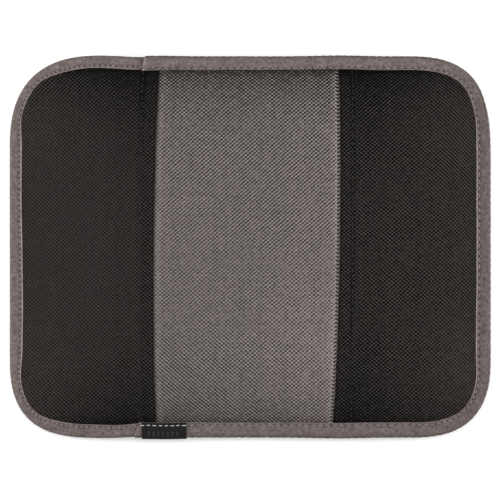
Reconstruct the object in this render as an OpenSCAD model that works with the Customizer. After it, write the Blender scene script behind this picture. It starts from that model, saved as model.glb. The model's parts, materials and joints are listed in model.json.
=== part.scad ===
// Padded slip-in sleeve for a tablet.
// Two foam walls are bound together round three sides by a folded tape. At the -X end
// the walls are bound one by one, so that they form a mouth, and the front wall's lip
// folds up about a line just outside its topstitch.
// The sleeve lies on its back: +X runs from the mouth to the closed end, +Y up the
// face, +Z out of the face. The origin is under the middle, on the surface it lies on.

/* [Sleeve] */
// Width of the face, from the mouth to the closed end
sleeve_w = 265; // [240:1:300]
// Height of the face, without the label
sleeve_h = 211; // [190:1:240]
// Thickness in the middle, with the pocket held open
sleeve_t = 23; // [20:0.5:28]
// Radius of the corners of the outline
corner_r = 39; // [30:1:45]

/* [Mouth] */
// Depth of the lips, from the mouth's edge to the fold
lip_len = 65; // [50:1:70]
// Gap between the two closed lips
mouth_gap = 0.6; // [0.6:0.1:2]
// How far the front lip folds up, in degrees
lip_open = 60; // [30:1:75]

/* [Front panels] */
// Left seam at the top of the face
left_seam_top = -50.2; // [-52:0.1:-46]
// Left seam at the bottom of the face
left_seam_bottom = -53.6; // [-55:0.1:-46]
// Right seam at the top of the face
right_seam_top = 49.2; // [40:0.1:60]
// Right seam at the bottom of the face
right_seam_bottom = 46.6; // [40:0.1:60]

/* [Walls] */
// Thickness of the woven outer fabric
fabric_t = 0.75; // [0.4:0.05:1]
// Thickness of the foam where it is free
foam_t = 3.4; // [2:0.1:4]
// Thickness of the foam pressed under the binding
bound_foam = 1.1; // [0.8:0.1:2]
// Thickness of the lining
lining_t = 0.4; // [0.3:0.05:0.8]
// Distance over which the face rises from the binding to its flat middle
crown_run = 36; // [25:1:40]

/* [Binding] */
// Width of each leg of the tape round the closed edge
tape_w = 8.2; // [6:0.1:10]
// Width of each leg of the tape round a lip
lip_tape_w = 6.8; // [5:0.1:8]
// Thickness of the tape
tape_t = 0.5; // [0.4:0.05:0.7]

/* [Stitching] */
// Width of a sewing thread
thread_w = 0.4; // [0.3:0.05:0.6]
// Height that a thread stands proud
thread_t = 0.15; // [0.1:0.05:0.15]
// Distance of the seam from the inner edge of the tape
seam_inset = 1.75; // [1.5:0.05:2.5]
// Place of the topstitch beside the left seam
left_topstitch_x = -59.8; // [-60:0.1:-56]
// Place of the topstitch beside the right seam
right_topstitch_x = 56; // [52:0.1:62]

/* [Label] */
// Width of the label
label_w = 24.5; // [15:0.5:40]
// Length of each leg of the label
label_leg = 9; // [7:0.5:12]
// Thickness of the label
label_t = 0.5; // [0.4:0.1:0.8]
// Middle of the label along the bottom edge
label_x = -47.2; // [-47.5:0.1:60]

/* [Hidden] */

FRONT = 1;
BACK = -1;
FABRIC_TOP = 0;
FABRIC_UNDER = 1;
FOAM_UNDER = 2;
LINING_FACE = 3;

corner_steps = 5;
far = 400;
fold_x = lip_len - sleeve_w / 2;
half_t = sleeve_t / 2;

// Room between the raw edges of the walls and the fold of the tape round them
raw_edge = tape_t + 0.2;
// Half the gap between the two linings along the closed edge
lining_gap = 0.15;
// Half the thickness of the two walls where they are bound together
bound_half = fabric_t + bound_foam + lining_t + lining_gap;
// Height of a lip's outer fabric at its binding, above the middle of the mouth
lip_base = mouth_gap / 2 + tape_t + bound_half - lining_gap;
crown_rise = half_t - bound_half;
crown_power = 2.5;
foam_run = 10;
// Insets from the outline at which the walls change slope
wall_insets = [for (share = [1, 4 / 9, 1 / 6, 0]) tape_w + share * crown_run, raw_edge];
// Half the space left open on each side of the fold, and the groove's flare above the hinge line
fold_gap = 0.25;
fold_z = 18;
groove_angle = lip_open / 2 + 1;
tack_len = 10;
// The label hangs below the outline, and the origin stays under the middle of the whole
centre_y = label_t / 2;

// A quarter of a circle from angle a
function arc(x, y, r, a) = [
    for (i = [0:corner_steps])
        [x + r * cos(a + 90 * i / corner_steps), y + r * sin(a + 90 * i / corner_steps)]
];

// The outline moved inwards by an inset, with a point of each long side at the fold
function outline(inset) =
    let (
        r = max(corner_r - inset, 1),
        x = sleeve_w / 2 - inset - r,
        y = sleeve_h / 2 - inset - r
    )
    concat(
        arc(x, y, r, 0), [[fold_x, y + r]], arc(-x, y, r, 90),
        arc(-x, -y, r, 180), [[fold_x, -y - r]], arc(x, -y, r, 270)
    );

// How far x is from the fold towards the mouth's edge, from 0 to 1; a lip's middle comes
// down with it until the lips lie flat on each other
function mouthward(x, lip) = lip ? (fold_x - x) / lip_len : 0;
function middle(x, lip) = half_t - (half_t - lip_base - tape_t - thread_t) * mouthward(x, lip);
function swell(x, lip) = lip ? (1 - mouthward(x, lip)) * (half_t - lip_base) / crown_rise : 1;

function ramp(inset, run) = min(max(inset - tape_w, 0) / run, 1);
function crown(inset) = crown_rise * (1 - pow(1 - ramp(inset, crown_run), crown_power));

// Depth of one of a wall's surfaces below its outer one
function depth(surface, inset) =
    (surface >= FABRIC_UNDER ? fabric_t : 0)
    + (surface >= FOAM_UNDER ? bound_foam + (foam_t - bound_foam) * ramp(inset, foam_run) : 0)
    + (surface >= LINING_FACE ? lining_t : 0);

// Height of one of a wall's surfaces above the middle of the sleeve
function height(surface, inset, x, lip) =
    (lip ? lip_base : bound_half) - depth(surface, 0)
    + swell(x, lip) * (crown(inset) + depth(surface, 0) - depth(surface, inset));

function wall_ring(surface, inset, side, lip) = [
    for (p = outline(inset))
        [p.x, p.y, middle(p.x, lip) + side * height(surface, inset, p.x, lip)]
];

function level_ring(point, side, lip) = [
    for (p = outline(point.x)) [p.x, p.y, middle(p.x, lip) + side * point.y]
];

function reversed(list) = [for (i = [len(list) - 1:-1:0]) list[i]];

// A solid whose surface runs through rings of points: a ring of sections if it is closed,
// or a skin that the first and last rings cap. The second half of the rings is split along
// the other diagonal, so that two layers meet along the same triangles.
module through_rings(rings, closed, side) {
    n = len(rings[0]);
    m = len(rings);
    bands = [
        for (j = [0:m - (closed ? 1 : 2)], i = [0:n - 1])
            let (
                a = j * n + i, b = j * n + (i + 1) % n,
                c = ((j + 1) % m) * n + (i + 1) % n, d = ((j + 1) % m) * n + i
            )
            each j < m / 2 - 1 ? [[a, b, c], [a, c, d]] : [[a, b, d], [b, c, d]]
    ];
    caps = closed ? [] : [[for (i = [n - 1:-1:0]) i], [for (i = [0:n - 1]) (m - 1) * n + i]];
    faces = concat(bands, caps);
    polyhedron(
        points = [for (ring = rings) each ring],
        faces = side == FRONT ? faces : [for (f = faces) reversed(f)]
    );
}

// One layer of a wall, between two of its surfaces
module layer(outer, inner, side, lip) {
    through_rings(
        concat(
            [for (inset = wall_insets) wall_ring(outer, inset, side, lip)],
            [for (inset = reversed(wall_insets)) wall_ring(inner, inset, side, lip)]
        ),
        false, side
    );
}

// A section in inset and height, swept round the whole outline
module swept(section, side, lip) {
    through_rings([for (point = section) level_ring(point, side, lip)], true, side);
}

// A folded tape round an edge that reaches from one height to another
module tape(width, low, high, side, lip) {
    nose = 0.9;
    swept(
        [
            [width, high], [nose, high], [0, high - nose], [0, low + nose], [nose, low],
            [width, low], [width, low + tape_t], [raw_edge - 0.1, low + tape_t],
            [raw_edge - 0.1, high - tape_t], [width, high - tape_t]
        ],
        side, lip
    );
}

// A line of stitching that runs parallel to the outline
module edge_thread(inset, low, side, lip) {
    swept(
        [
            [inset + thread_w / 2, low + thread_t], [inset - thread_w / 2, low + thread_t],
            [inset - thread_w / 2, low], [inset + thread_w / 2, low]
        ],
        side, lip
    );
}

// A line of stitching up the face, over its crown
module topstitch(x) {
    half = [for (inset = wall_insets) if (inset >= tape_w)
        [sleeve_h / 2 - inset, height(FABRIC_TOP, inset, x, false)]];
    line = concat(reversed(half), [for (p = half) [-p.x, p.y]]);
    translate([x, 0, half_t])
        rotate([90, 0, 90])
            linear_extrude(thread_w, center = true)
                polygon(concat([for (p = line) [p.x, p.y + thread_t]], reversed(line)));
}

// The space on the mouth's side of the fold, under the groove's flare
module mouth_side() {
    flare = far * tan(groove_angle);
    rotate([90, 0, 0])
        linear_extrude(far, center = true)
            polygon([
                [-far, -far], [fold_x - fold_gap, -far], [fold_x - fold_gap, fold_z],
                [fold_x - fold_gap - flare, fold_z + far], [-2 * far, fold_z + far], [-2 * far, -far]
            ]);
}

// The space on the closed side of the fold, which the groove flares away from
module closed_side() {
    flare = far * tan(groove_angle);
    rotate([90, 0, 0])
        linear_extrude(far, center = true)
            polygon([
                [far, -far], [2 * far, -far], [2 * far, fold_z + far],
                [fold_x + fold_gap + flare, fold_z + far], [fold_x + fold_gap, fold_z],
                [fold_x + fold_gap, -far]
            ]);
}

// The space between two lines up the face, each given by its x at the top and at the bottom
module between(left, right) {
    y = sleeve_h / 2;
    linear_extrude(far, center = true)
        polygon([[left[1], -y], [right[1], -y], [right[0], y], [left[0], y]]);
}

// Everything on one side of the plain cut that the back wall is joined at
module beyond_fold(side) {
    translate([fold_x + side * far / 2, 0, 0])
        cube(far, center = true);
}

module placed() {
    translate([0, centre_y, 0])
        children();
}

module lip_layer(outer, inner) {
    placed()
        intersection() {
            layer(outer, inner, FRONT, true);
            mouth_side();
        }
}

module front_layer(outer, inner) {
    placed()
        intersection() {
            layer(outer, inner, FRONT, false);
            closed_side();
            children();
        }
}

// The back wall is one piece from the mouth to the closed end
module back_layer(outer, inner) {
    placed() {
        intersection() {
            layer(outer, inner, BACK, true);
            beyond_fold(-1);
        }
        intersection() {
            layer(outer, inner, BACK, false);
            beyond_fold(1);
        }
    }
}

module at_lip() {
    placed()
        intersection() {
            children();
            mouth_side();
        }
}

module at_back_lip() {
    placed()
        intersection() {
            children();
            translate([-fold_gap, 0, 0])
                beyond_fold(-1);
        }
}

module at_closed_edge() {
    placed()
        intersection() {
            children();
            closed_side();
        }
}

module left_panel() {
    color("#2f2d2b") lip_layer(FABRIC_TOP, FABRIC_UNDER);
}

module left_panel_seam_strip() {
    color("#2f2d2b")
        front_layer(FABRIC_TOP, FABRIC_UNDER)
            between([-far, -far], [left_seam_top, left_seam_bottom]);
}

module centre_panel() {
    color("#6a6461")
        front_layer(FABRIC_TOP, FABRIC_UNDER)
            between([left_seam_top, left_seam_bottom], [right_seam_top, right_seam_bottom]);
}

module right_panel() {
    color("#2c2a28")
        front_layer(FABRIC_TOP, FABRIC_UNDER)
            between([right_seam_top, right_seam_bottom], [far, far]);
}

module lip_foam() {
    color("#3a3a3c") lip_layer(FABRIC_UNDER, FOAM_UNDER);
}

module front_foam() {
    color("#3a3a3c") front_layer(FABRIC_UNDER, FOAM_UNDER) between([-far, -far], [far, far]);
}

module lip_lining() {
    color("#8b8682") lip_layer(FOAM_UNDER, LINING_FACE);
}

module front_lining() {
    color("#8b8682") front_layer(FOAM_UNDER, LINING_FACE) between([-far, -far], [far, far]);
}

module back_panel() {
    color("#2f2d2b") back_layer(FABRIC_TOP, FABRIC_UNDER);
}

module back_foam() {
    color("#3a3a3c") back_layer(FABRIC_UNDER, FOAM_UNDER);
}

module back_lining() {
    color("#8b8682") back_layer(FOAM_UNDER, LINING_FACE);
}

module lip_binding() {
    color("#746863")
        at_lip() tape(lip_tape_w, mouth_gap / 2, lip_base + tape_t, FRONT, true);
}

module back_lip_binding() {
    color("#746863")
        at_back_lip() tape(lip_tape_w, mouth_gap / 2, lip_base + tape_t, BACK, true);
}

module perimeter_binding() {
    reach = bound_half + tape_t;
    color("#756c69") at_closed_edge() tape(tape_w, -reach, reach, FRONT, false);
}

module left_topstitch() {
    color("#454341") placed() topstitch(left_topstitch_x);
}

module right_topstitch() {
    color("#454341") placed() topstitch(right_topstitch_x);
}

module perimeter_thread(side) {
    color("#8d8480")
        at_closed_edge() edge_thread(tape_w - seam_inset, bound_half + tape_t, side, false);
}

module lip_seam(low, side) {
    edge_thread(lip_tape_w - seam_inset, low, side, true);
}

module perimeter_thread_front() {
    perimeter_thread(FRONT);
}

module perimeter_thread_back() {
    perimeter_thread(BACK);
}

module lip_thread_outside() {
    color("#8d8480") at_lip() lip_seam(lip_base + tape_t, FRONT);
}

module lip_thread_inside() {
    color("#8d8480") at_lip() lip_seam(mouth_gap / 2 - thread_t, FRONT);
}

module back_lip_thread_outside() {
    color("#8d8480") at_back_lip() lip_seam(lip_base + tape_t, BACK);
}

module back_lip_thread_inside() {
    color("#8d8480") at_back_lip() lip_seam(mouth_gap / 2 - thread_t, BACK);
}

// Back-stitched rows beside the seam that lock the ends of the two tapes at the top edge
module mouth_end_tacks() {
    color("#8d8480")
        placed()
            for (side = [FRONT, BACK], row = [1, 2])
                translate([
                    left_topstitch_x, sleeve_h / 2 - tape_w + seam_inset + row,
                    half_t + side * (bound_half + tape_t + thread_t / 2)
                ])
                    translate([0, -thread_w / 2, -thread_t / 2])
                        cube([tack_len, thread_w, thread_t]);
}

// A folded label, sewn round the bottom edge over the binding and its thread
module label() {
    inner = bound_half + tape_t + thread_t;
    outer = inner + label_t;
    edge = -sleeve_h / 2;
    color("#2b2b2b")
        placed()
            translate([label_x, 0, half_t])
                rotate([90, 0, 90])
                    linear_extrude(label_w, center = true)
                        polygon([
                            [edge + label_leg, outer], [edge, outer],
                            [edge - label_t, inner], [edge - label_t, -inner],
                            [edge, -outer], [edge + label_leg, -outer],
                            [edge + label_leg, -inner], [edge, -inner],
                            [edge, inner], [edge + label_leg, inner]
                        ]);
}

module label_thread() {
    reach = bound_half + tape_t + thread_t + label_t;
    color("#d8d6d2")
        placed()
            for (side = [FRONT, BACK])
                translate([
                    label_x, label_leg - seam_inset - sleeve_h / 2,
                    half_t + side * (reach + thread_t / 2)
                ])
                    cube([label_w, thread_w, thread_t], center = true);
}

left_panel();
left_panel_seam_strip();
centre_panel();
right_panel();
lip_foam();
front_foam();
lip_lining();
front_lining();
lip_binding();
back_panel();
back_foam();
back_lining();
back_lip_binding();
perimeter_binding();
left_topstitch();
right_topstitch();
perimeter_thread_front();
perimeter_thread_back();
lip_thread_outside();
lip_thread_inside();
back_lip_thread_outside();
back_lip_thread_inside();
mouth_end_tacks();
label();
label_thread();
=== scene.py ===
"""The looks of a padded tablet sleeve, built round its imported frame. Everything is in metres."""

import json
import math

import bpy
import numpy as np
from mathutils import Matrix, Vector


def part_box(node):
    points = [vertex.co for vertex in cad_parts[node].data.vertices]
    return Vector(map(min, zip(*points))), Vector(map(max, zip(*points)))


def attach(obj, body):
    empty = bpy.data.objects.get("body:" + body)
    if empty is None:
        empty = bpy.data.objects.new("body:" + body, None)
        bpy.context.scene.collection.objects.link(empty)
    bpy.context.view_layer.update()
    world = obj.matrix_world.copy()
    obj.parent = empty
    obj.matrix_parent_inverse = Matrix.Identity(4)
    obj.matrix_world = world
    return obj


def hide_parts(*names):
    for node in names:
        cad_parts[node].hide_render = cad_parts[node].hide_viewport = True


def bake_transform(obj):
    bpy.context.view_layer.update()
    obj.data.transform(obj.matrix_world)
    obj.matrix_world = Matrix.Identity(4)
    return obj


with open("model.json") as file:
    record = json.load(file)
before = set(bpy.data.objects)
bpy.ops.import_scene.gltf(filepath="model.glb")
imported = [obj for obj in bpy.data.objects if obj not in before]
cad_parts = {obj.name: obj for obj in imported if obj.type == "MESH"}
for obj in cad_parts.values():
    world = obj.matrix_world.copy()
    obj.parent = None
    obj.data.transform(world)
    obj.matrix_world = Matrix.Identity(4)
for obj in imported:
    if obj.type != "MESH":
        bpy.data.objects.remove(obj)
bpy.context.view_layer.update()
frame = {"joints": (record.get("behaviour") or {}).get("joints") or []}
MM = 0.001

# ---------------- measures

joint = frame["joints"][0]
edge_low, edge_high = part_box("perimeter_binding")
lip_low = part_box("lip_binding")[0]
label_low, label_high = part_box("label")

# The stitches draw the outline in a little, mostly along the two long sides
HALF_W = edge_high.x - 0.1 * MM
HALF_H = (edge_high.y - edge_low.y) / 2 - 0.55 * MM
CENTRE_Y = (edge_high.y + edge_low.y) / 2
HALF_T = (edge_high.z + edge_low.z) / 2
EDGE_REACH = (edge_high.z - edge_low.z) / 2
FOLD_X = joint["pos_m"][0]
LIP_LEN = FOLD_X - lip_low.x

FABRIC_T = 0.75 * MM
BOUND_FOAM = 1.1 * MM
FOAM_T = 3.4 * MM
FOAM_RUN = 10 * MM
LINING_T = 0.4 * MM
TAPE_T = 0.5 * MM
THREAD_R = 0.26 * MM
MOUTH_GAP = 0.6 * MM
CROWN_RUN = 36 * MM
CROWN_POWER = 2.5

# Half the thickness of the walls' fabric where they are bound, at the closed edge and at a lip
EDGE_BASE = EDGE_REACH - TAPE_T
LIP_BASE = MOUTH_GAP / 2 + TAPE_T + FABRIC_T + BOUND_FOAM + LINING_T
LIP_REACH = LIP_BASE + TAPE_T
REST_GAP = 0.15 * MM

EDGE_TAPE_W = 8.2 * MM
LIP_TAPE_W = 6.8 * MM
SEAM_INSET = 1.45 * MM
RAW_EDGE = 1.6 * MM
# Where the closed edge's tape starts over the ends of the lips' tapes, and how far they run under it
JOIN_X = FOLD_X + 8 * MM
JOIN_LAP = 4 * MM
# How far its folded ends lean, at the top and at the bottom
END_SLANT = (1.6 * MM, 3.3 * MM)
# Reach of the outline's corners, at the mouth and at the closed end, and how square they are:
# 2 would be a circle's arc
RADII = {(-1, 1): 51.5 * MM, (1, 1): 45.5 * MM, (-1, -1): 43.5 * MM, (1, -1): 44 * MM}
SQUARENESS = 2.6

EDGE_STITCH = 3.9 * MM
LIP_STITCH = 3.0 * MM
TOP_STITCH = 3.6 * MM
LABEL_STITCH = 3.3 * MM
TACK_STITCH = 2.3 * MM
# How far the top edge's stitches stray inwards, and how much deeper they lie there and at the bottom
TOP_STRAY = 0.55 * MM
TOP_SUNK, BOTTOM_SUNK = 0.16 * MM, 0.07 * MM

# The label: one leg's length, its seam's place, how far its fold stands out, and its room over the tape
LABEL_LEG = 8.7 * MM
LABEL_SEAM = LABEL_LEG - 2.0 * MM
LABEL_PROUD = 0.6 * MM
LABEL_ROOM = 0.12 * MM

# The weave's yarns, across and up
YARN_U = 1.2 * MM
YARN_V = 1.06 * MM
# The row of needle holes on the grey side of the right seam, and the width of one hole
NEEDLED_INSET = 1.25 * MM
NEEDLE_HOLE = 0.46 * MM
# Added to the distance from the row of holes, so that a piece without the mark has none
NEEDLED_BASE = 50 * MM
# How deep the two seams are drawn down, and how wide the foam gives way under them
SEAM_DEPTH = 0.9 * MM
GROOVE_W = 3 * MM

FRONT, BACK = 1, -1
# A wall's surfaces, from the outside in
TOP, UNDER_FABRIC, UNDER_FOAM, LINING_FACE = range(4)


def smooth(low, high, x):
    """0 up to low and 1 from high, rising smoothly between. The first may also be the larger."""
    t = np.clip((x - low) / (high - low), 0, 1)
    return t * t * (3 - 2 * t)


def hill(x, width):
    """1 at 0, falling off smoothly on both sides."""
    return np.exp(-((x / width) ** 2))


# ---------------- stage

def make_camera():
    data = bpy.data.cameras.new("camera")
    camera = bpy.data.objects.new("camera", data)
    bpy.context.scene.collection.objects.link(camera)
    distance, view_width = 1.6, 275 * MM
    data.sensor_width = 36
    data.lens = data.sensor_width * (distance - HALF_T) / view_width
    camera.location = (-0.1 * MM, CENTRE_Y - 1.7 * MM, distance)
    bpy.context.scene.camera = camera


def area_light(name, place, size, power):
    """A soft light that faces the origin."""
    data = bpy.data.lights.new(name, "AREA")
    data.shape = "RECTANGLE"
    data.size, data.size_y = size
    data.energy = power
    light = bpy.data.objects.new(name, data)
    light.location = place
    light.rotation_mode = "QUATERNION"
    light.rotation_quaternion = (-Vector(place)).to_track_quat("-Z", "Y")
    bpy.context.scene.collection.objects.link(light)


def make_lights():
    area_light("left_box", (-0.72, 0, 0.48), (0.45, 0.5), 4.1)
    area_light("right_box", (0.70, 0, 0.44), (0.4, 0.5), 4.0)
    area_light("strip", (0, 0.2, 1.74), (2.0, 0.4), 15.6)
    world = bpy.data.worlds.new("studio")
    world.use_nodes = True
    world.node_tree.nodes["Background"].inputs["Color"].default_value = (1, 1, 1, 1)
    world.node_tree.nodes["Background"].inputs["Strength"].default_value = 0.03
    bpy.context.scene.world = world
    bpy.context.scene.view_settings.view_transform = "Standard"


# ---------------- shape of the sleeve

def corner_radius(x, y):
    left, right = (np.where(y >= 0, RADII[e, 1], RADII[e, -1]) for e in (-1, 1))
    return np.where(x >= 0, right, left)


def inset_of(x, y):
    """How far a point of the face is inside the outline."""
    y = y - CENTRE_Y
    r = corner_radius(x, y)
    over_x = np.abs(x) - (HALF_W - r)
    over_y = np.abs(y) - (HALF_H - r)
    powers = np.maximum(over_x, 0) ** SQUARENESS + np.maximum(over_y, 0) ** SQUARENESS
    return r - powers ** (1 / SQUARENESS) - np.minimum(np.maximum(over_x, over_y), 0)


def edge_y(x, end, inset):
    """The height up the face of the outline moved inwards, at its top (1) or bottom (-1)."""
    r = corner_radius(x, np.full_like(x, end))
    over = np.clip(np.abs(x) - (HALF_W - r), 0, r - inset)
    rise = ((r - inset) ** SQUARENESS - over**SQUARENESS) ** (1 / SQUARENESS)
    return CENTRE_Y + end * (HALF_H - r + rise)


def mouthward(x):
    """From 0 at the closed side to 1 at the mouth's edge, with the fold rounded off."""
    t = (FOLD_X - x) / LIP_LEN
    return (t + np.sqrt(t * t + 0.12**2)) / 2


def middle(x):
    return HALF_T - (HALF_T - LIP_REACH - REST_GAP) * mouthward(x)


def lipness(x):
    """1 where the walls are bound one by one, and 0 where they are bound together."""
    return smooth(JOIN_X + 4 * MM, JOIN_X - 6 * MM, x)


def spread(x, y):
    """1 where the lips' tapes are spread wide, before their lower join."""
    return smooth(JOIN_X - 26 * MM, JOIN_X - 6 * MM, x) * (y < CENTRE_Y)


def crown(x, y):
    tape = EDGE_TAPE_W + (LIP_TAPE_W - EDGE_TAPE_W + 2.1 * MM * spread(x, y)) * lipness(x)
    share = np.clip((inset_of(x, y) - tape) / CROWN_RUN, 0, 1)
    return 1 - (1 - share) ** CROWN_POWER


def depth(surface, x, y):
    """Depth of one of a wall's surfaces under its outer one."""
    free = np.clip((inset_of(x, y) - EDGE_TAPE_W) / FOAM_RUN, 0, 1) * (1 - mouthward(x))
    foam = BOUND_FOAM + (FOAM_T - BOUND_FOAM) * free
    layers = [0, FABRIC_T, FABRIC_T + foam, FABRIC_T + foam + LINING_T]
    return layers[surface]


def wall_z(surface, side, x, y):
    base = EDGE_BASE + (LIP_BASE - EDGE_BASE) * lipness(x)
    height = base + (HALF_T - base) * (1 - mouthward(x)) * crown(x, y)
    return middle(x) + side * (height - depth(surface, x, y))


def bowed(x, slant, bow):
    """A line up the face that gives its x at each y. All three numbers are in millimetres."""
    def line(y):
        n = (y - CENTRE_Y) / HALF_H
        return (x + slant * n + bow * n * n) * MM
    return line


left_seam, right_seam = bowed(-52.8, 1.06, 2.36), bowed(49.1, 1.73, -2.24)
left_topstitch, right_topstitch = bowed(-60.3, 0, 1.9), bowed(56.0, 0.4, -0.5)


def stitch_holes(start, end, pitch, seed):
    """Places of the needle holes along a seam, a little uneven."""
    count = round((end - start) / pitch)
    holes = np.linspace(start, end, count + 1)
    holes[1:-1] += np.random.default_rng(seed).uniform(-0.05, 0.05, count - 1) * pitch
    return holes


topstitch_reach = HALF_H - EDGE_TAPE_W + 1 * MM
topstitch_holes = stitch_holes(CENTRE_Y - topstitch_reach, CENTRE_Y + topstitch_reach, TOP_STITCH, 3)


def tightness(place, holes):
    """1 at a needle hole, and 0 halfway between two."""
    phase = np.interp(place, holes, np.arange(len(holes)))
    return 0.5 + 0.5 * np.cos(2 * math.pi * phase)


def seam_relief(x, y):
    """How the two seams and their topstitches raise and press the face."""
    relief = 0
    pull = 0.25 * MM + 0.25 * MM * tightness(y, topstitch_holes)
    for seam, stitched, towards in ((left_seam, left_topstitch, 1), (right_seam, right_topstitch, -1)):
        # Distance from the seam, above 0 on the grey side, and the width of the doubled black side
        grey = towards * (x - seam(y))
        ridge = towards * (seam(y) - stitched(y))
        relief = relief - SEAM_DEPTH * np.exp(-np.abs(grey) / np.where(grey >= 0, 1.3 * MM, 0.5 * MM))
        relief = relief + 0.5 * MM * smooth(-ridge - 0.8 * MM, -ridge + 1.2 * MM, grey) * (grey < 0)
        relief = relief - pull * hill(grey + ridge, 0.8 * MM)
    return relief


def unevenness(x, y):
    """The slight unevenness of hand-made padding."""
    return (
        0.16 * MM * np.sin(x / (21 * MM) + 0.7) * np.cos(y / (27 * MM) - 0.4)
        + 0.10 * MM * np.sin(x / (11 * MM) - y / (17 * MM) + 1.9)
    )


def face_z(x, y):
    calm = smooth(EDGE_TAPE_W, EDGE_TAPE_W + 12 * MM, inset_of(x, y))
    shown = smooth(EDGE_TAPE_W - 4 * MM, EDGE_TAPE_W + 2 * MM, inset_of(x, y))
    return wall_z(TOP, FRONT, x, y) + calm * unevenness(x, y) + shown * seam_relief(x, y)


def back_z(x, y):
    calm = smooth(EDGE_TAPE_W, EDGE_TAPE_W + 12 * MM, inset_of(x, y))
    return wall_z(TOP, BACK, x, y) + np.abs(0.5 * calm * unevenness(-x, y))


# ---------------- meshes

def new_object(name, points, faces):
    mesh = bpy.data.meshes.new(name)
    mesh.from_pydata(points.tolist(), [], faces)
    mesh.validate()
    mesh.polygons.foreach_set("use_smooth", np.ones(len(mesh.polygons), bool))
    mesh.set_sharp_from_angle(angle=math.radians(50))
    obj = bpy.data.objects.new(name, mesh)
    bpy.context.scene.collection.objects.link(obj)
    return obj


def set_attribute(obj, name, values):
    """Stores a number or a vector at each point, for the materials."""
    kind, key = ("FLOAT_VECTOR", "vector") if values.ndim == 2 else ("FLOAT", "value")
    attribute = obj.data.attributes.new(name, kind, "POINT")
    attribute.data.foreach_set(key, values.astype(np.float32).ravel())


def quads(rows, columns, first=0):
    """The faces of a grid of points, of which the first has that number."""
    i, j = np.meshgrid(np.arange(rows - 1), np.arange(columns - 1), indexing="ij")
    a = (first + i * columns + j).ravel()
    return np.stack([a, a + columns, a + columns + 1, a + 1], 1)


def shell(name, outer, inner, flat, marks=None):
    """A closed sheet between two grids of points, with its flat coordinates and other marks."""
    rows, columns = outer.shape[:2]
    count = rows * columns
    upper, lower = quads(rows, columns), quads(rows, columns, count)[:, ::-1]
    rim = np.concatenate([
        np.arange(columns), np.arange(1, rows) * columns + columns - 1,
        (rows - 1) * columns + np.arange(columns - 2, -1, -1), np.arange(rows - 2, 0, -1) * columns
    ])
    after = np.roll(rim, -1)
    walls = np.stack([rim, after, after + count, rim + count], 1)
    points = np.concatenate([outer.reshape(-1, 3), inner.reshape(-1, 3)])
    obj = new_object(name, points, np.concatenate([upper, lower, walls]).tolist())
    mend_normals(obj)
    set_attribute(obj, "flat", np.tile(flat.reshape(-1, 3), (2, 1)))
    for mark, values in (marks or {}).items():
        set_attribute(obj, mark, np.tile(values.ravel(), 2))
    return obj


def mend_normals(obj):
    """Turns a closed mesh's faces outwards."""
    mesh = obj.data
    points = np.array([v.co for v in mesh.vertices])
    corners = np.array([p.vertices[:3] for p in mesh.polygons])
    a, b, c = (points[corners[:, k]] for k in range(3))
    if (a * np.cross(b, c)).sum() < 0:
        mesh.flip_normals()


def stations(low, high, fine_low, fine_high):
    """Places from low to high, close together towards the ends."""
    coarse, growth = 2.2 * MM, 0.22
    places, x = [low], low
    while x < high:
        x += min(coarse, fine_low + growth * (x - low), fine_high + growth * max(high - x, 0))
        places.append(x)
    places = np.array(places)
    return low + (places - low) * (high - low) / (places[-1] - low)


def face_grid(left, right, fine_left, fine_right, rows=1.2 * MM):
    """A grid over the face between two lines, each a function of y or a fixed x."""
    start = left(CENTRE_Y) if callable(left) else left
    stop = right(CENTRE_Y) if callable(right) else right
    nominal = stations(start, stop, fine_left, fine_right)
    share = (nominal - nominal[0]) / (nominal[-1] - nominal[0])
    even = np.linspace(0, 1, int(2 * HALF_H / rows))
    # Closer together at the bottom and the top
    up = 0.35 * (1 - np.cos(math.pi * even)) / 2 + 0.65 * even
    low, high = edge_y(nominal, -1, RAW_EDGE), edge_y(nominal, 1, RAW_EDGE)
    y = low[:, None] + (high - low)[:, None] * up[None]
    x = np.repeat(nominal[:, None], len(even), 1)
    if callable(left):
        x = x + (left(y) - start) * ((1 - share) ** 2)[:, None]
    if callable(right):
        x = x + (right(y) - stop) * (share**2)[:, None]
    return x, y


class FlatMap:
    """Coordinates of a face laid flat, so that its weave is foreshortened on a slope."""

    def __init__(self, surface):
        self.xs = np.arange(-HALF_W, HALF_W + MM, MM)
        self.ys = np.arange(-HALF_H - MM, HALF_H + 2 * MM, MM)
        x, y = np.meshgrid(self.xs, self.ys, indexing="ij")
        z = surface(x, y)
        self.u = self.lengths(z)
        self.v = self.lengths(z.T).T

    @staticmethod
    def lengths(z):
        """Lengths along each column of heights, from its middle."""
        steps = np.hypot(np.diff(z, axis=0), MM)
        total = np.concatenate([np.zeros((1, z.shape[1])), np.cumsum(steps, 0)])
        return total - total[len(total) // 2]

    def at(self, x, y):
        """The flat coordinates of points of the face."""
        i = np.clip((x - self.xs[0]) / MM, 0, len(self.xs) - 1.001)
        j = np.clip((y - self.ys[0]) / MM, 0, len(self.ys) - 1.001)
        i0, j0 = i.astype(int), j.astype(int)
        fi, fj = i - i0, j - j0
        flat = [
            (t[i0, j0] * (1 - fi) + t[i0 + 1, j0] * fi) * (1 - fj)
            + (t[i0, j0 + 1] * (1 - fi) + t[i0 + 1, j0 + 1] * fi) * fj
            for t in (self.u, self.v)
        ]
        return np.stack([*flat, np.zeros_like(x)], -1)


def layer(name, x, y, outer_z, inner_z, flat_map, marks=None):
    outer = np.stack([x, y, outer_z], -1)
    inner = np.stack([x, y, inner_z], -1)
    return shell(name, outer, inner, flat_map.at(x, y), marks)


# ---------------- the edge

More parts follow.
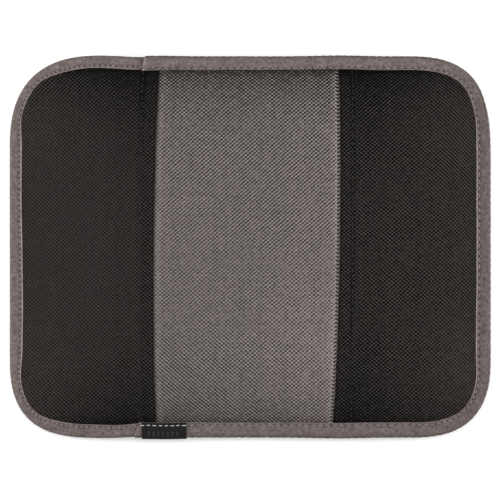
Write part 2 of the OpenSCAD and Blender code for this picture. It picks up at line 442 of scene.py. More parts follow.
class EdgeLine:
    """The outline as a path from its top edge to its bottom edge, round the closed end or the mouth.

    Its end is 1 for the closed end and -1 for the mouth. stray(x, y) is how far the edge lies outside
    the plain outline, and widen(s, to_end, y) is how much wider the tape is than its width, at a
    length s along the edge and to_end before its end.
    """

    def __init__(self, end, start_x, width, stray, widen):
        top, bottom = RADII[end, 1], RADII[end, -1]
        power = 2 / SQUARENESS
        points, normals = [], []

        def straight(a, b, normal):
            for t in np.linspace(0, 1, 400, endpoint=False):
                points.append((a[0] + (b[0] - a[0]) * t, a[1] + (b[1] - a[1]) * t))
                normals.append(normal)

        def turn(up, r):
            quarter = np.linspace(0, math.pi / 2, 500, endpoint=False)
            for a in quarter if up < 0 else math.pi / 2 - quarter:
                c, d = max(math.cos(a), 0), max(math.sin(a), 0)
                points.append((end * (HALF_W - r + r * c**power), up * (HALF_H - r + r * d**power)))
                lean = (end * c ** (2 - power), up * d ** (2 - power))
                normals.append(tuple(k / math.hypot(*lean) for k in lean))

        straight((start_x, HALF_H), (end * (HALF_W - top), HALF_H), (0, 1))
        turn(1, top)
        straight((end * HALF_W, HALF_H - top), (end * HALF_W, bottom - HALF_H), (end, 0))
        turn(-1, bottom)
        straight((end * (HALF_W - bottom), -HALF_H), (start_x, -HALF_H), (0, -1))
        points.append((start_x, -HALF_H))
        normals.append((0, -1))
        self.points, self.normals = np.array(points), np.array(normals, float)
        self.points += self.normals * stray(*self.points.T)[:, None]
        self.points[:, 1] += CENTRE_Y
        self.s = np.concatenate([[0], np.cumsum(np.linalg.norm(np.diff(self.points, axis=0), axis=1))])
        self.length = self.s[-1]
        self.width, self.widen, self.closed = width, widen, end > 0

    def place(self, s, inset):
        """The point of the face at that length along the edge and that far inside it."""
        x, y, nx, ny = (np.interp(s, self.s, column) for column in (*self.points.T, *self.normals.T))
        inset = inset + self.widen(s, self.length - s, y) * np.clip(inset / self.width, 0, 1.1)
        return x - nx * inset, y - ny * inset

    def seam(self, s):
        """How far inside the edge its row of stitches runs."""
        along_top = smooth(8 * MM, 30 * MM, s) * smooth(130 * MM, 100 * MM, s)
        return self.width - SEAM_INSET + self.closed * TOP_STRAY * along_top

    def facing(self, s):
        """The outward direction at each length along the edge."""
        return [np.interp(s, self.s, column)[:, None] for column in self.normals.T]


def folded_section(width, low, high, seam):
    """Insets and heights round a folded strip, from the inner edge of one leg to that of the other."""
    half = nose = (high - low) / 2
    leg = np.concatenate([
        width - np.array([0, 0.15, 0.45]) * MM,
        seam + np.array([0.7, 0.35, 0, -0.35, -0.7, -1.2]) * MM,
        np.linspace(seam - 2.2 * MM, nose, 3)
    ])
    angle = np.linspace(0, math.pi, 13)[1:-1]
    insets = np.concatenate([leg, nose * (1 - np.sin(angle)), leg[::-1]])
    heights = np.concatenate([np.full(len(leg), half), half * np.cos(angle), np.full(len(leg), -half)])
    heights[[0, -1]] -= np.array([1, -1]) * 0.12 * MM
    return insets, heights + (low + high) / 2


def folded_strip(name, line, s, insets, heights, side, thickness, slope, marks):
    """A strip folded over the edge: a row of sections, each given by its insets and heights."""
    du, dv = np.gradient(insets, axis=1), np.gradient(heights, axis=1)
    size = np.hypot(du, dv)
    grids = []
    for sunk in (0, thickness):
        x, y = line.place(s[:, None] + slope, insets - sunk * dv / size)
        grids.append(np.stack([x, y, middle(x) + side * (heights + sunk * du / size)], -1))
    across = np.cumsum(np.hypot(np.diff(insets[0]), np.diff(heights[0])))
    flat = np.stack(np.broadcast_arrays((s - s.mean())[:, None], np.append(0, across)[None], 0.0), -1)
    return shell(name, *grids, flat, marks)


def edge_tape(name, line, holes, low, high, side, ripple, lift):
    """A binding tape, drawn in by its stitches from the first needle hole to the last."""
    width = line.width
    insets, heights = folded_section(width, low, high, width - SEAM_INSET)
    s = np.interp(np.arange(0, len(holes) - 1 + 1e-9, 1 / 6), np.arange(len(holes)), holes)
    seam = line.seam(s)[:, None]
    tight = tightness(s, holes)[:, None]
    uneven = np.random.default_rng(len(holes)).uniform(0.4, 1.5, len(holes))
    drawn = ripple * np.interp(s, holes, uneven)[:, None] * tight
    inset = insets[None] + drawn * np.clip(1 - insets / (3 * MM), 0, 1)[None] ** 1.5

    # The stitches pull the tape's legs in, and between them and the nose they puff out
    midway = insets - seam * 0.55
    pull = (0.16 * MM + 0.18 * MM * tight) * hill(insets - seam, 0.7 * MM)
    pull = pull + 0.08 * MM * tight * hill(midway, 1.8 * MM)
    puff = 0.16 * MM * hill(midway, 1.7 * MM)
    outward = np.sign(heights - (low + high) / 2)[None]
    height = heights[None] + outward * (puff - pull + lift(s)[:, None])

    # The closed edge's tape ends in slanting folds
    slope = 0
    if line.closed:
        slant = END_SLANT[0] * hill(s - s[0], 6 * MM) + END_SLANT[1] * hill(s - s[-1], 6 * MM)
        slope = slant[:, None] * np.clip(1 - insets / width, 0, 1)
    marks = tape_marks(line, s, holes, insets, seam)
    return folded_strip(name, line, s, inset, height, side, TAPE_T, slope, marks)


def tape_marks(line, s, holes, insets, seam):
    """A tape's needle holes, its painted shade in the stitch groove and at its outer edge, its pale rims
    with painted highlight, and its painted light by the way it faces.
    """
    facing_x, facing_y = line.facing(s)
    sideways = np.abs(facing_x)
    downward = np.clip(-facing_y, 0, 1)
    closed_top = np.clip(facing_y, 0, 1) * line.closed
    at_start = (s < s.mean())[:, None]
    end = np.minimum(s - s[0], s[-1] - s)[:, None]

    phase = np.interp(s, holes, np.arange(len(holes)))
    along = (phase - np.round(phase)) * np.mean(np.diff(holes))
    hole = hill(insets - seam, 0.4 * MM) * hill(along, 0.7 * MM)[:, None]
    hole = hole * (1 - 0.5 * downward - 0.5 * closed_top)
    between = np.abs(np.sin(s * (math.pi / TACK_STITCH)))[:, None]
    sewn_over = (1 - smooth(6 * MM, 11 * MM, end)) * between**3
    wandering = insets[None] - seam + 0.5 * MM * np.sin(s / (0.9 * MM))[:, None]
    hole = np.maximum(hole, 0.8 * sewn_over * hill(wandering, 0.5 * MM) * (1 - 0.5 * downward))

    # Painted shade in the stitch groove, deeper along the top, and along the rolled outer edge at the top
    # and the bottom
    channel = hill(insets - seam, 0.75 * MM) + 0.7 * closed_top * hill(insets - seam, 0.5 * MM)
    outer_line = (0.7 + 0.7 * closed_top) * hill(insets, 1.1 * MM) * (1 - sideways)
    channel = np.maximum(channel, outer_line)

    # Painted highlight on the pale inner rim, strongest where the tape faces the sides and most on the
    # right, and on the outer edge along the sides
    rim = 0.3 + 0.7 * sideways + 0.4 * np.clip(facing_x, 0, 1) - 0.3 * closed_top
    rim = rim * hill(insets - line.width, 0.7 * MM)
    rim = rim * (1 - 0.7 * smooth(0.2, 0.9, -facing_y * (facing_x > -0.1)))
    rim = rim * (1 - 1.2 * np.abs(facing_x * facing_y))
    rim = rim + 0.25 * hill(insets, 0.8 * MM) * sideways
    if line.closed:
        # Painted highlight on the closed tape's folded ends
        rim = np.maximum(rim, np.where(at_start, 0.8, 0.4) * hill(end, 1.0 * MM))
    else:
        # Painted shade beside the end of the closed edge's tape, which covers this one's end
        lean = np.clip(1 - insets / line.width, 0, 1)
        covered = JOIN_LAP + np.where(at_start, -END_SLANT[0], END_SLANT[1]) * lean
        channel = np.maximum(channel, 2.3 * hill(end - covered - 0.6 * MM, 1.7 * MM))
    # Painted light: darker where the tape faces right, lighter where it faces up the face, a little
    # darker where it faces down
    faded = -0.16 * np.clip(facing_x, 0, 1) + 0.1 * np.clip(facing_y, -0.4, 1)
    return {"hole": hole, "channel": channel, "rim": rim, "faded": np.broadcast_to(faded, hole.shape)}


def capsules(name, starts, ends, face, radius=THREAD_R, sag=0.16 * MM):
    """Stitches that dive into the cloth at both ends. The face is FRONT or BACK, for all or for each."""
    sides, rings = 8, 7
    t = np.linspace(0, 1, rings)
    angle = np.linspace(0, 2 * math.pi, sides, endpoint=False)
    along = ends - starts
    length = np.linalg.norm(along, axis=1, keepdims=True)
    along = along / length
    ups = np.zeros_like(along)
    ups[:, 2] = face
    ups = ups - (ups * along).sum(1, keepdims=True) * along
    ups = ups / np.linalg.norm(ups, axis=1, keepdims=True)
    sideways = np.cross(along, ups)
    thick = radius * np.minimum(1, 0.45 + 2.2 * np.sin(math.pi * t))
    rise = sag * (np.sin(math.pi * t) ** 0.6 * 1.5 - 1)
    centre = (
        starts[:, None] + (ends - starts)[:, None] * t[None, :, None]
        + ups[:, None] * rise[None, :, None]
    )
    ring = (
        np.cos(angle)[None, None, :, None] * sideways[:, None, None]
        + 0.8 * np.sin(angle)[None, None, :, None] * ups[:, None, None]
    )
    points = centre[:, :, None] + thick[None, :, None, None] * ring

    # The numbers of one stitch's points, and then of all
    block = sides * rings
    firsts = np.arange(len(starts)) * block
    grid = np.meshgrid(np.arange(rings - 1), np.arange(sides), indexing="ij")
    row, k = (g.ravel() for g in grid)
    after = (k + 1) % sides
    here, above = row * sides, (row + 1) * sides
    tube = np.stack([here + k, here + after, above + after, above + k], 1)
    faces = (tube[None] + firsts[:, None, None]).reshape(-1, 4).tolist()
    for first in firsts.tolist():
        faces.append(list(range(first + sides - 1, first - 1, -1)))
        faces.append(list(range(first + block - sides, first + block)))
    obj = new_object(name, points.reshape(-1, 3), faces)
    mend_normals(obj)
    flat = np.stack(np.broadcast_arrays(
        t[None, :, None] * length[:, :, None], angle[None, None] / (2 * math.pi), 0.0
    ), -1)
    set_attribute(obj, "flat", flat.reshape(-1, 3))
    return obj


def edge_stitches(name, line, holes, height, side, lift):
    """The stitches of an edge seam, as they lie on one face of the tape."""
    gap = 0.15 * np.diff(holes)
    starts, ends = holes[:-1] + gap, holes[1:] - gap
    sideways = np.random.default_rng(7).uniform(-0.1, 0.1, (2, len(starts))) * MM
    level = height + lift((starts + ends) / 2) - 0.1 * MM
    if line.closed:
        facing_y = line.facing(starts)[1][:, 0]
        level = level - np.interp(facing_y, [-1, 0, 1], [BOTTOM_SUNK, 0, TOP_SUNK])
    place = []
    for s, shift in zip((starts, ends), sideways):
        x, y = line.place(s, line.seam(s) + shift)
        place.append(np.stack([x, y, middle(x) + side * level], -1))
    return capsules(name, *place, side)


def face_stitches(name, line, holes):
    """The stitches of a seam in the face."""
    gap = 0.12 * np.diff(holes)
    y = np.stack([holes[:-1] + gap, holes[1:] - gap])
    x = line(y)
    points = np.stack([x, y, face_z(x, y) + 0.12 * MM], -1)
    return capsules(name, *points, FRONT, sag=0.2 * MM)


# ---------------- materials

class Value:
    """A number that a material's nodes work out, so that sums read as sums."""

    def __init__(self, tree, socket):
        self.tree, self.socket = tree, socket

    def op(self, operation, *others):
        node = self.tree.nodes.new("ShaderNodeMath")
        node.operation = operation
        for slot, value in zip(node.inputs, (self, *others)):
            if isinstance(value, Value):
                self.tree.links.new(value.socket, slot)
            else:
                slot.default_value = value
        return Value(self.tree, node.outputs[0])

    def __add__(self, other):
        return self.op("ADD", other)

    def __sub__(self, other):
        return self.op("SUBTRACT", other)

    def __mul__(self, other):
        return self.op("MULTIPLY", other)

    def __truediv__(self, other):
        return self.op("DIVIDE", other)

    def towards(self, other, share):
        """This value at share 0, and the other at share 1."""
        return self + share * (other - self)

    def wave(self, length):
        """From 0 to 1 and back over each length."""
        return (self * (2 * math.pi / length)).op("SINE") * 0.5 + 0.5

    def hill(self):
        """1 at 0, falling off smoothly on both sides."""
        return (self * self * -1).op("EXPONENT")

    def step(self, low, high):
        """0 up to low and 1 from high, rising smoothly between."""
        node = self.tree.nodes.new("ShaderNodeMapRange")
        node.interpolation_type = "SMOOTHSTEP"
        self.tree.links.new(self.socket, node.inputs["Value"])
        node.inputs["From Min"].default_value = low
        node.inputs["From Max"].default_value = high
        return Value(self.tree, node.outputs[0])


class Look:
    """A material, and short ways to build its nodes. Call flat() before noise()."""

    def __init__(self, name, roughness, specular):
        self.material = bpy.data.materials.new(name)
        self.material.use_nodes = True
        self.tree = self.material.node_tree
        self.shader = self.tree.nodes["Principled BSDF"]
        self.shader.inputs["Roughness"].default_value = roughness
        self.shader.inputs["Specular IOR Level"].default_value = specular

    def flat(self):
        """The two coordinates of the piece as if it were laid flat."""
        node = self.tree.nodes.new("ShaderNodeAttribute")
        node.attribute_name = "flat"
        split = self.tree.nodes.new("ShaderNodeSeparateXYZ")
        self.tree.links.new(node.outputs["Vector"], split.inputs[0])
        self.vector = node.outputs["Vector"]
        return Value(self.tree, split.outputs[0]), Value(self.tree, split.outputs[1])

    def mark(self, name):
        """A number stored at each point of the mesh, or 0 where there is none."""
        node = self.tree.nodes.new("ShaderNodeAttribute")
        node.attribute_name = name
        return Value(self.tree, node.outputs["Fac"])

    def noise(self, size, detail=2.0, stretch=(1, 1, 1)):
        """Smooth noise with blotches of that size."""
        scale = self.tree.nodes.new("ShaderNodeVectorMath")
        scale.operation = "MULTIPLY"
        scale.inputs[1].default_value = [k / size for k in stretch]
        self.tree.links.new(self.vector, scale.inputs[0])
        node = self.tree.nodes.new("ShaderNodeTexNoise")
        node.inputs["Scale"].default_value = 1
        node.inputs["Detail"].default_value = detail
        self.tree.links.new(scale.outputs[0], node.inputs["Vector"])
        return Value(self.tree, node.outputs["Fac"])

    def cell_noise(self, first, second):
        """A random number for each pair of numbers."""
        join = self.tree.nodes.new("ShaderNodeCombineXYZ")
        self.tree.links.new(first.socket, join.inputs[0])
        self.tree.links.new(second.socket, join.inputs[1])
        node = self.tree.nodes.new("ShaderNodeTexWhiteNoise")
        self.tree.links.new(join.outputs[0], node.inputs["Vector"])
        return Value(self.tree, node.outputs["Value"])

    def colour(self, rgb, strength):
        """The base colour, as a colour times a worked-out strength."""
        node = self.tree.nodes.new("ShaderNodeVectorMath")
        node.operation = "SCALE"
        node.inputs[0].default_value = rgb
        self.tree.links.new(strength.socket, node.inputs["Scale"])
        self.tree.links.new(node.outputs[0], self.shader.inputs["Base Color"])

    def roughness(self, value):
        self.tree.links.new(value.socket, self.shader.inputs["Roughness"])

    def bump(self, height, distance):
        node = self.tree.nodes.new("ShaderNodeBump")
        node.inputs["Distance"].default_value = distance
        self.tree.links.new(height.socket, node.inputs["Height"])
        self.tree.links.new(node.outputs[0], self.shader.inputs["Normal"])


def woven(name, colour, shine, gap):
    """Plain-woven heavy nylon: smooth floats in a chequered pattern round dull dark gaps.

    How bright the gaps are goes from 0 to 1. The marks come from weave_marks.
    """
    look = Look(name, 0.5, shine)
    u, v = look.flat()
    u, v = u / YARN_U, v / YARN_V
    column, row = u.op("FLOOR"), v.op("FLOOR")
    a, b = u - column - 0.5, v - row - 0.5
    crosswise = (column + row).op("FLOORED_MODULO", 2.0)
    across, along = a.towards(b, crosswise), b.towards(a, crosswise)
    round_off = (across * across * -4.3 + 1).op("MAXIMUM", 0.0).op("POWER", 0.5)
    flat_top = (along * along * 4).op("POWER", 1.6) * -1 + 1
    height = round_off * (flat_top.op("MAXIMUM", 0.0) * 0.75 + 0.25)
    one_yarn = look.cell_noise(column.towards(row, crosswise), crosswise)
    one_float = look.cell_noise(column, row)
    filaments = (across * 34 + one_float * 6).op("SINE") * 0.5 + 0.5

    # Floats above 0 and gaps below, and then the row of needle holes and the tight yarns beside it
    rising, falling = ((u - v) * math.pi).op("COSINE"), ((u + v) * math.pi).op("COSINE")
    gaps = (rising - falling) * 0.5 + (rising + falling) * look.mark("lean") * 0.5
    off_row = (look.mark("needled") - NEEDLED_BASE) / NEEDLE_HOLE
    needled = off_row.hill() * ((v * math.pi).op("COSINE") * 6.4 - 2.0) + (off_row - 2.1).hill() * 0.3
    # The mark subtracted here widens the dark gaps, mostly as painted shade, and below 0 closes them as
    # painted highlight
    shade = (gaps - look.mark("parted_and_shaded") * 1.6 + (one_float * 0.5 - 0.25) + needled).step(-0.8, 0.7)

    close = look.mark("close")
    strength = shade * (close * -0.3 + (1 - gap)) + close * 0.16 + gap
    # The light mark is painted light and shade on the colour
    strength = strength * (look.mark("light") + 1) * (one_yarn * 0.16 + 0.92)
    mottle = look.noise(14 * MM) * 0.2 + 0.9
    look.colour(colour, strength * mottle * (filaments * 0.14 + 0.93))
    look.roughness(shade * -0.5 + 0.95)
    look.bump(height + filaments * 0.04, 0.35 * MM)
    return look.material


def tape(name, colour):
    """Fine ribbed polyester tape with a pale woven edge and needle holes, and painted shade, painted
    highlight and painted light from its marks.
    """
    look = Look(name, 0.75, 0.2)
    s, w = look.flat()
    weave = (s + w * 0.08).wave(0.5 * MM) * 0.6 + w.wave(0.36 * MM) * 0.4
    streaks = look.noise(0.6 * MM, 1.0, (1, 0.2, 1)) * 0.7 + 0.65
    mottle = look.noise(1.7 * MM, 3.0) * 1.5 + 0.25
    broad = look.noise(6 * MM, 2.0, (1, 2, 1)) * 0.9 + 0.55
    # Painted shade in the stitch groove, at the outer edge and beside the join, painted highlight on the
    # rims, and painted light by the way the tape faces; the holes darken it too
    strength = (look.mark("hole") * -0.9 + 1) * (look.mark("channel") * -0.22 + 1)
    strength = strength * (look.mark("rim") * 1.3 + 1) * (look.mark("faded") + 1)
    look.colour(colour, (weave * 0.3 + 0.85) * streaks * mottle * broad * strength)
    look.bump(weave * 0.5 + mottle, 0.08 * MM)
    return look.material


def thread(name, colour, shine=0.4):
    """Twisted sewing thread."""
    look = Look(name, 0.5, shine)
    s, turn = look.flat()
    ply = (s / (0.75 * MM) + turn * 2).wave(1)
    look.colour(colour, ply * 0.45 + 0.7)
    look.bump(ply, 0.06 * MM)
    return look.material


def lining(name, colour):
    """Fine knitted lining with a short nap."""
    look = Look(name, 0.9, 0.15)
    u, v = look.flat()
    knit = u.wave(0.9 * MM) * (v + u * 0.2).wave(0.7 * MM)
    nap = look.noise(0.5 * MM, 4.0)
    mottle = look.noise(12 * MM) * 0.2 + 0.9
    look.colour(colour, (knit * 0.25 + 0.85) * (nap * 0.3 + 0.85) * mottle)
    look.bump(knit * 0.5 + nap, 0.12 * MM)
    look.shader.inputs["Sheen Weight"].default_value = 0.3
    return look.material


def foam(name, colour):
    look = Look(name, 0.95, 0.1)
    look.flat()
    cells = look.noise(0.4 * MM, 5.0)
    look.colour(colour, cells * 0.8 + 0.6)
    look.bump(cells, 0.15 * MM)
    return look.material


def label_weave(name, colour):
    """Dense woven label with fine ribs and a plain tonal row of bars."""
    look = Look(name, 0.7, 0.15)
    u, v = look.flat()
    rib, pick = v.wave(0.32 * MM), (u + v * 0.5).wave(0.4 * MM)
    # The bars' height on the label, their own width and pitch, and the length of the row
    band = (v - 5.9 * MM).op("ABSOLUTE").step(1.5 * MM, 1.3 * MM)
    bars = (u * (2 * math.pi / (2.6 * MM))).op("SINE").step(0.1, 0.5)
    row = u.op("ABSOLUTE").step(9.2 * MM, 8.9 * MM)
    look.colour(colour, (rib * 0.25 + pick * 0.2 + 0.75) * (band * bars * row * 1.8 + 1))
    look.bump(rib * 0.6 + pick * 0.4, 0.06 * MM)
    return look.material


MATERIALS = {
    "black_fabric": woven("black_weave", (0.0455, 0.0398, 0.0369), 0.12, 0.03),
    "grey_fabric": woven("grey_weave", (0.256, 0.219, 0.205), 0.5, 0.08),
    "binding_tape": tape("taupe_tape", (0.162, 0.1305, 0.1235)),
    "grey_thread": thread("taupe_thread", (0.29, 0.255, 0.235)),
    "dark_thread": thread("black_thread", (0.032, 0.030, 0.028), 0.18),
    "white_thread": thread("white_thread", (0.62, 0.61, 0.59)),
    "lining": lining("knit_lining", (0.135, 0.122, 0.114)),
    "foam": foam("closed_cell_foam", (0.045, 0.045, 0.05)),
    "label_weave": label_weave("woven_label", (0.012, 0.012, 0.0128)),
}


def finish_piece(obj, slot, bend=False, nodes=()):
    """Gives a piece its material and hides its CAD nodes; with bend it keeps its placing baked in and no
    body, and otherwise it lies still on the root body.
    """
    obj.data.materials.append(MATERIALS[slot])
    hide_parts(*nodes)
    if bend:
        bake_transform(obj)
    else:
        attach(obj, "root")


# ---------------- pieces

def area_of(width, corners=()):
    """The area of a strip of the face, less its rounded corners."""
    return width * 2 * HALF_H - sum((1 - math.pi / 4) * RADII[c] ** 2 for c in corners)


def seam_marks(x, y):
    """Painted shade and painted light beside the two seams, with the yarns parting at them."""
    apart_and_shade, light = 0, 0
    from_middle = np.abs(y - CENTRE_Y)
    # How strong the painted shade beside the seams is, from a quarter at the middle to full towards the
    # top and bottom
    shade_towards_ends = 0.25 + 0.75 * smooth(20 * MM, 85 * MM, from_middle)
    # Each with the depth of the painted shade on its black side, and the painted light on its grey side
    seams = (
        (left_seam(y), left_topstitch(y), 0.3, 0.0),
        (right_seam(y), right_topstitch(y), 0.6, 0.16)
    )
    for seam, stitched, dark, bright in seams:
        # Distance from the seam, above 0 on the grey side
        grey = (x - seam) * np.sign(seam - stitched)
        faint = np.exp(-np.abs(grey) / (26 * MM))
        between = (x - seam) * (x - stitched) < 0
        # Painted shade on the black side: in the seam's crease, at the topstitch, and deepening towards
        # the seam; it is also a little darker between the seam and its topstitch
        black_side = dark * hill(grey, 0.5 * MM) + 0.1 * between + 0.35 * hill(x - stitched, 0.7 * MM)
        black_side = black_side + (0.25 + grey / (135 * MM)) * shade_towards_ends * smooth(4 * MM, 16 * MM, -grey)
        # Painted highlight on the grey side, along the seam's rolled edge and in a band just beyond it
        grey_side = 0.25 * hill(grey - 0.35 * MM, 0.3 * MM) + 0.14 * hill(grey - 2.8 * MM, 1.6 * MM)
        apart_and_shade = apart_and_shade + np.where(grey < 0, black_side, -grey_side - 0.06 * faint)
        # Painted shade right at the seam on the grey side, a faint painted highlight beyond it, and
        # painted light on the grey near the right seam
        edge_light = 0.1 * hill(grey - 2.3 * MM, 0.8 * MM) - 0.44 * hill(grey, 0.8 * MM)
        light = light + (grey > 0) * (bright * faint + edge_light)
    return apart_and_shade, light


def weave_marks(x, y):
    """Where the yarns part, lean and lie close, where shade and light are painted, and where needles have
    opened them.

    A lean above 0 tilts the floats to the right. Close yarns show less of the gaps, and below 0 more.
    """
    on_left, on_right = x < left_seam(y), x > right_seam(y)
    on_grey = (x >= left_seam(y) - 0.01 * MM) & (x <= right_seam(y) + 0.01 * MM)
    # Both from -1 to 1: up the face, and over the grey panel
    n = (y - CENTRE_Y) / HALF_H
    across = x / (50 * MM)

    apart_and_shade, light = seam_marks(x, y)
    from_tape = np.maximum(HALF_H - np.abs(y - CENTRE_Y) - EDGE_TAPE_W, 0)
    # Painted shade on the slopes down to the top and bottom tapes, deeper at the top, and a painted
    # shadow line just inside the tapes
    apart_and_shade = apart_and_shade + np.where(y > CENTRE_Y, 0.4, 0.27) * np.exp(-from_tape / (18 * MM)) - 0.05
    apart_and_shade = apart_and_shade + 0.3 * np.exp(-from_tape / (1.2 * MM))
    needled = np.where(on_grey, right_seam(y) - x - NEEDLED_INSET + NEEDLED_BASE, 0)

    # The left panel hangs slack in its middle, and the grey one is drawn tight unevenly
    slack = np.exp(-(((x + 95 * MM) / (45 * MM)) ** 4) - ((y - CENTRE_Y) / (75 * MM)) ** 4)
    slack = slack * (x < left_topstitch(y))
    tense = 0.7 * hill(n + 0.15, 0.5) * smooth(0.4, -0.5, across) - 0.4 * smooth(0.6, 0.9, n)
    tense = tense - 0.3 * smooth(0.2, 0.6, n) * smooth(0.2, 1, across)
    tense = tense + 0.35 * smooth(0.3, -0.2, n) * smooth(-0.2, 0.8, across)
    close = 1.6 * slack + on_grey * tense - 0.4 * on_right
    # Painted light: the lower grey panel lighter towards the right, and the left panel's slack middle a
    # little lighter
    light = light + on_grey * 0.0034 / MM * (x + 21 * MM) * smooth(0, 60 * MM, CENTRE_Y - y)
    light = light + 0.14 * slack

    # The left panel's floats lean right above a slanting line, and left below it
    turn = 0.2 - 0.15 * (x + 100 * MM) / (40 * MM)
    left_lean = 0.36 * smooth(turn - 0.15, turn + 0.2, n) - 0.22
    grey_lean = 0.46 * hill(n - 0.25, 0.5) + (0.35 * across - 0.2) * smooth(-0.3, -0.7, n)
    # From the seam's side of the right panel to its edge
    outer = (x - 68 * MM) / (44 * MM)
    right_lean = (-0.14 - 0.17 * outer) * smooth(-0.8, -0.1, n)
    right_lean = right_lean + 0.44 * hill(n - 0.75, 0.4) * smooth(0.95, 0.45, outer)
    right_lean = right_lean - 0.5 * hill(n - 0.6, 0.35) * smooth(0.5, 1.05, outer)
    lean = on_left * left_lean + on_grey * grey_lean + on_right * right_lean
    return {"parted_and_shaded": apart_and_shade, "needled": needled, "close": close, "light": light, "lean": lean}


def make_face_panels(flat_map):
    def panel(name, left, right, fine_left, fine_right):
        x, y = face_grid(left, right, fine_left, fine_right)
        z = face_z(x, y)
        return layer(name, x, y, z, z - FABRIC_T, flat_map, weave_marks(x, y))

    end = HALF_W - RAW_EDGE
    left = panel("left_face", -end, left_seam, 0.8 * MM, 0.4 * MM)
    centre = panel("centre_face", left_seam, right_seam, 0.4 * MM, 0.4 * MM)
    right = panel("right_face", right_seam, end, 0.4 * MM, 0.8 * MM)
    finish_piece(left, "black_fabric", bend=True, nodes=("left_panel", "left_panel_seam_strip"))
    finish_piece(centre, "grey_fabric", nodes=("centre_panel",))
    finish_piece(right, "black_fabric", nodes=("right_panel",))
    left_w, right_w = HALF_W + left_seam(CENTRE_Y), HALF_W - right_seam(CENTRE_Y)
    centre_w = right_seam(CENTRE_Y) - left_seam(CENTRE_Y)
    area_of(left_w, [(-1, 1), (-1, -1)])
    area_of(right_w, [(1, 1), (1, -1)])


def make_hidden_layers(flat_map):
    end = HALF_W - RAW_EDGE
    x, y = face_grid(-end, end, 1.5 * MM, 1.5 * MM, rows=2.5 * MM)
    walls = (
        (FRONT, "front", ("front_foam", "lip_foam"), ("front_lining", "lip_lining")),
        (BACK, "back", ("back_foam",), ("back_lining",))
    )
    for side, word, foam_nodes, lining_nodes in walls:
        surfaces = (UNDER_FABRIC, UNDER_FOAM, LINING_FACE)
        outer, inner, face = (wall_z(surface, side, x, y) for surface in surfaces)
        bend = side == FRONT
        if bend:
            # The foam gives way under the two seams
            grooves = hill(x - left_seam(y), GROOVE_W) + hill(x - right_seam(y), GROOVE_W)
            outer = outer - SEAM_DEPTH * grooves
        pad = layer(f"{word}_padding", x, y, outer, inner, flat_map)
        cloth = layer(f"{word}_lining_cloth", x, y, face, inner, flat_map)
        finish_piece(pad, "foam", bend=bend, nodes=foam_nodes)
        finish_piece(cloth, "lining", bend=bend, nodes=lining_nodes)
        area_of(2 * HALF_W, list(RADII))


def make_back_panel():
    end = HALF_W - RAW_EDGE
    x, y = face_grid(-end, end, 0.8 * MM, 0.8 * MM, rows=1.6 * MM)
    z = back_z(x, y)
    back = layer("back_face_cloth", x, y, z, z + FABRIC_T, FlatMap(back_z))
    finish_piece(back, "black_fabric", nodes=("back_panel",))
    area_of(2 * HALF_W, list(RADII))


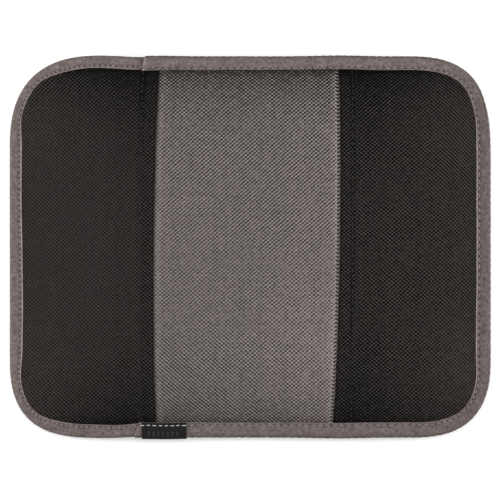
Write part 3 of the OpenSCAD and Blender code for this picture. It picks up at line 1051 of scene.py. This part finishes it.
def make_edge():
    """The tapes and their stitches, with the label and the tacks sewn on."""
    def closed_stray(x, y):
        """The edge bulges where the two seams thicken it, and one corner is flatter."""
        bulge = 0.5 * MM * hill(x - 48 * MM, 18 * MM) + 0.3 * MM * hill(x + 47 * MM, 11 * MM)
        return bulge - 0.95 * MM * hill(y - 78 * MM, 15 * MM) * (x > 0)

    def lip_stray(x, y):
        """The edge is pinched where the tapes meet, and at the mouth's lower corner."""
        pinched = 1.0 * MM * hill(x - JOIN_X, 14 * MM)
        return 0.4 * MM - pinched - 0.6 * MM * hill(x + 104 * MM, 17 * MM) * (y < 0)

    def corner(y):
        """1 along the corners of the outline."""
        height = np.abs(y - CENTRE_Y)
        return smooth(56 * MM, 76 * MM, height) * smooth(105 * MM, 94 * MM, height)

    def closed_widen(s, _to_end, y):
        wave = 0.12 * MM * np.sin(s / (17 * MM)) + 0.05 * MM * np.sin(s / (5 * MM))
        wave = wave + 0.5 * MM * hill(s - JOIN_LAP, 14 * MM) - 0.45 * MM * y / HALF_H
        return wave - np.where(y > 0, 0.4, 0.8) * MM * corner(y)

    def lip_widen(s, to_end, y):
        wave = 0.35 * MM + 0.3 * MM * np.sin(s / (19 * MM) + 4) + 0.05 * MM * np.sin(s / (6 * MM))
        wide = spread(JOIN_X + JOIN_LAP - to_end, y) * smooth(2 * MM, 5 * MM, to_end)
        wave = wave - 0.25 * MM * y / HALF_H + 0.8 * MM * wide
        wave = wave + 0.5 * MM * hill(s - 14 * MM, 16 * MM) - 1.3 * MM * hill(to_end - 13.5 * MM, 11 * MM)
        return wave - np.where(y > 0, 1.9, 1.35) * MM * corner(y)

    closed = EdgeLine(1, JOIN_X - JOIN_LAP, EDGE_TAPE_W, closed_stray, closed_widen)
    lip = EdgeLine(-1, JOIN_X + JOIN_LAP, LIP_TAPE_W, lip_stray, lip_widen)
    first, last = JOIN_LAP, closed.length - JOIN_LAP + 1.6 * MM
    edge_holes = stitch_holes(first, last, EDGE_STITCH, 11)
    lip_holes = stitch_holes(0, lip.length, LIP_STITCH, 12)

    def over_ends(s):
        """How the closed edge's tape climbs over the ends of the lips' tapes."""
        end = np.minimum(s - first, last - s)
        folded_under = 0.45 * MM * hill(end - 2.2 * MM, 2.4 * MM) - 0.3 * MM * hill(end, 0.4 * MM)
        return 1.15 * MM * (1 - smooth(4 * MM, 12 * MM, end)) + folded_under

    def no_lift(s):
        return 0 * s

    tape_piece = edge_tape("edge_tape", closed, edge_holes, -EDGE_REACH, EDGE_REACH, FRONT, 0.15 * MM,
                           over_ends)
    finish_piece(tape_piece, "binding_tape", nodes=("perimeter_binding",))
    for side, word in ((FRONT, "front"), (BACK, "back")):
        row = edge_stitches(f"edge_stitches_{word}", closed, edge_holes, EDGE_REACH, side, over_ends)
        finish_piece(row, "grey_thread", nodes=(f"perimeter_thread_{word}",))
    for side, word, bend in ((FRONT, "lip", True), (BACK, "back_lip", False)):
        tape_piece = edge_tape(f"{word}_tape", lip, lip_holes, MOUTH_GAP / 2, LIP_REACH, side, 0.06 * MM,
                               no_lift)
        finish_piece(tape_piece, "binding_tape", bend=bend, nodes=(f"{word}_binding",))
        rows = (("outside", LIP_REACH, side), ("inside", -MOUTH_GAP / 2, -side))
        for where, height, up in rows:
            row = edge_stitches(f"{word}_stitches_{where}", lip, lip_holes, height, up, no_lift)
            finish_piece(row, "grey_thread", bend=bend, nodes=(f"{word}_thread_{where}",))
    make_label(closed, over_ends)
    make_back_tacks(closed, first, over_ends)


def make_label(line, lift):
    """A woven tab folded over the bottom edge, sewn down by its own row of stitches."""
    line_end = JOIN_X - JOIN_LAP
    start, stop = line.length - (label_high.x - line_end), line.length - (label_low.x - line_end)
    s = np.linspace(start, stop, 40)
    rest = EDGE_REACH + LABEL_ROOM
    insets, heights = folded_section(LABEL_LEG, -rest - TAPE_T, rest + TAPE_T, LABEL_SEAM + LABEL_PROUD)
    insets = insets - LABEL_PROUD
    holes = stitch_holes(start - 0.5 * MM, stop + 1.4 * MM, LABEL_STITCH, 5)
    tight = tightness(s, holes)[:, None]
    dip = (0.1 * MM + 0.12 * MM * tight) * hill(insets - LABEL_SEAM, 0.7 * MM)[None]
    curl = 0.12 * MM * np.sin((s - start) / (4.1 * MM))[:, None]
    raised = lift(s)[:, None] - dip + curl * hill(insets - 4 * MM, 3 * MM)[None]
    heights = heights[None] + np.sign(heights)[None] * raised
    insets = np.tile(insets, (len(s), 1))
    tab = folded_strip("label_tab", line, s, insets, heights, FRONT, TAPE_T, 0, {})
    finish_piece(tab, "label_weave", nodes=("label",))

    rng = np.random.default_rng(8)
    points = []
    for hole_s, inward in ((holes[:-1], 1), (holes[1:], -1)):
        end_s = hole_s + inward * rng.uniform(0.1, 0.24, len(hole_s)) * np.diff(holes)
        x, y = line.place(end_s, LABEL_SEAM + rng.uniform(-0.16, 0.16, len(hole_s)) * MM)
        above = rest + TAPE_T + lift(end_s) + rng.uniform(-0.08, 0.02, len(hole_s)) * MM
        points.append(np.stack([x, y, middle(x) + above], -1))
    row = capsules("label_stitches", *points, FRONT, radius=0.24 * MM)
    finish_piece(row, "white_thread", nodes=("label_thread",))


def make_back_tacks(line, first, lift):
    """Stitches sewn over again where each tape starts and ends."""
    rng = np.random.default_rng(21)
    starts, ends, faces = [], [], []
    for side in (FRONT, BACK):
        for where in (first + 0.6 * MM, line.length - first - 10 * MM):
            s = where + np.arange(5) * TACK_STITCH + rng.uniform(-0.3, 0.3, 5) * MM
            for a, b in zip(s[:-1], s[1:]):
                for at, points in ((a + 0.3 * MM, starts), (b - 0.3 * MM, ends)):
                    x, y = line.place(at, line.width - rng.uniform(1.2, 2.3) * MM)
                    z = middle(x) + side * (EDGE_REACH + lift(at) - 0.04 * MM)
                    points.append((float(x), float(y), float(z)))
                faces.append(side)
    tacks = capsules("back_tacks", np.array(starts), np.array(ends), faces)
    finish_piece(tacks, "grey_thread", nodes=("mouth_end_tacks",))


def make_topstitches():
    for side, line in (("left", left_topstitch), ("right", right_topstitch)):
        row = face_stitches(f"{side}_face_stitches", line, topstitch_holes)
        finish_piece(row, "dark_thread", nodes=(f"{side}_topstitch",))


def make_floor():
    mesh = bpy.data.meshes.new("floor")
    size = 3.0
    corners = [(-size, -size, 0), (size, -size, 0), (size, size, 0), (-size, size, 0)]
    mesh.from_pydata(corners, [], [(0, 1, 2, 3)])
    floor = bpy.data.objects.new("floor", mesh)
    floor.location.z = -0.2 * MM
    bpy.context.scene.collection.objects.link(floor)
    look = Look("pale_floor", 0.9, 0.0)
    look.shader.inputs["Base Color"].default_value = (0.86, 0.86, 0.86, 1)
    look.shader.inputs["Emission Color"].default_value = (1, 1, 1, 1)
    look.shader.inputs["Emission Strength"].default_value = 0.38
    floor.data.materials.append(look.material)


make_camera()
make_lights()
make_floor()
face_map = FlatMap(face_z)
make_face_panels(face_map)
make_hidden_layers(face_map)
make_back_panel()
make_edge()
make_topstitches()
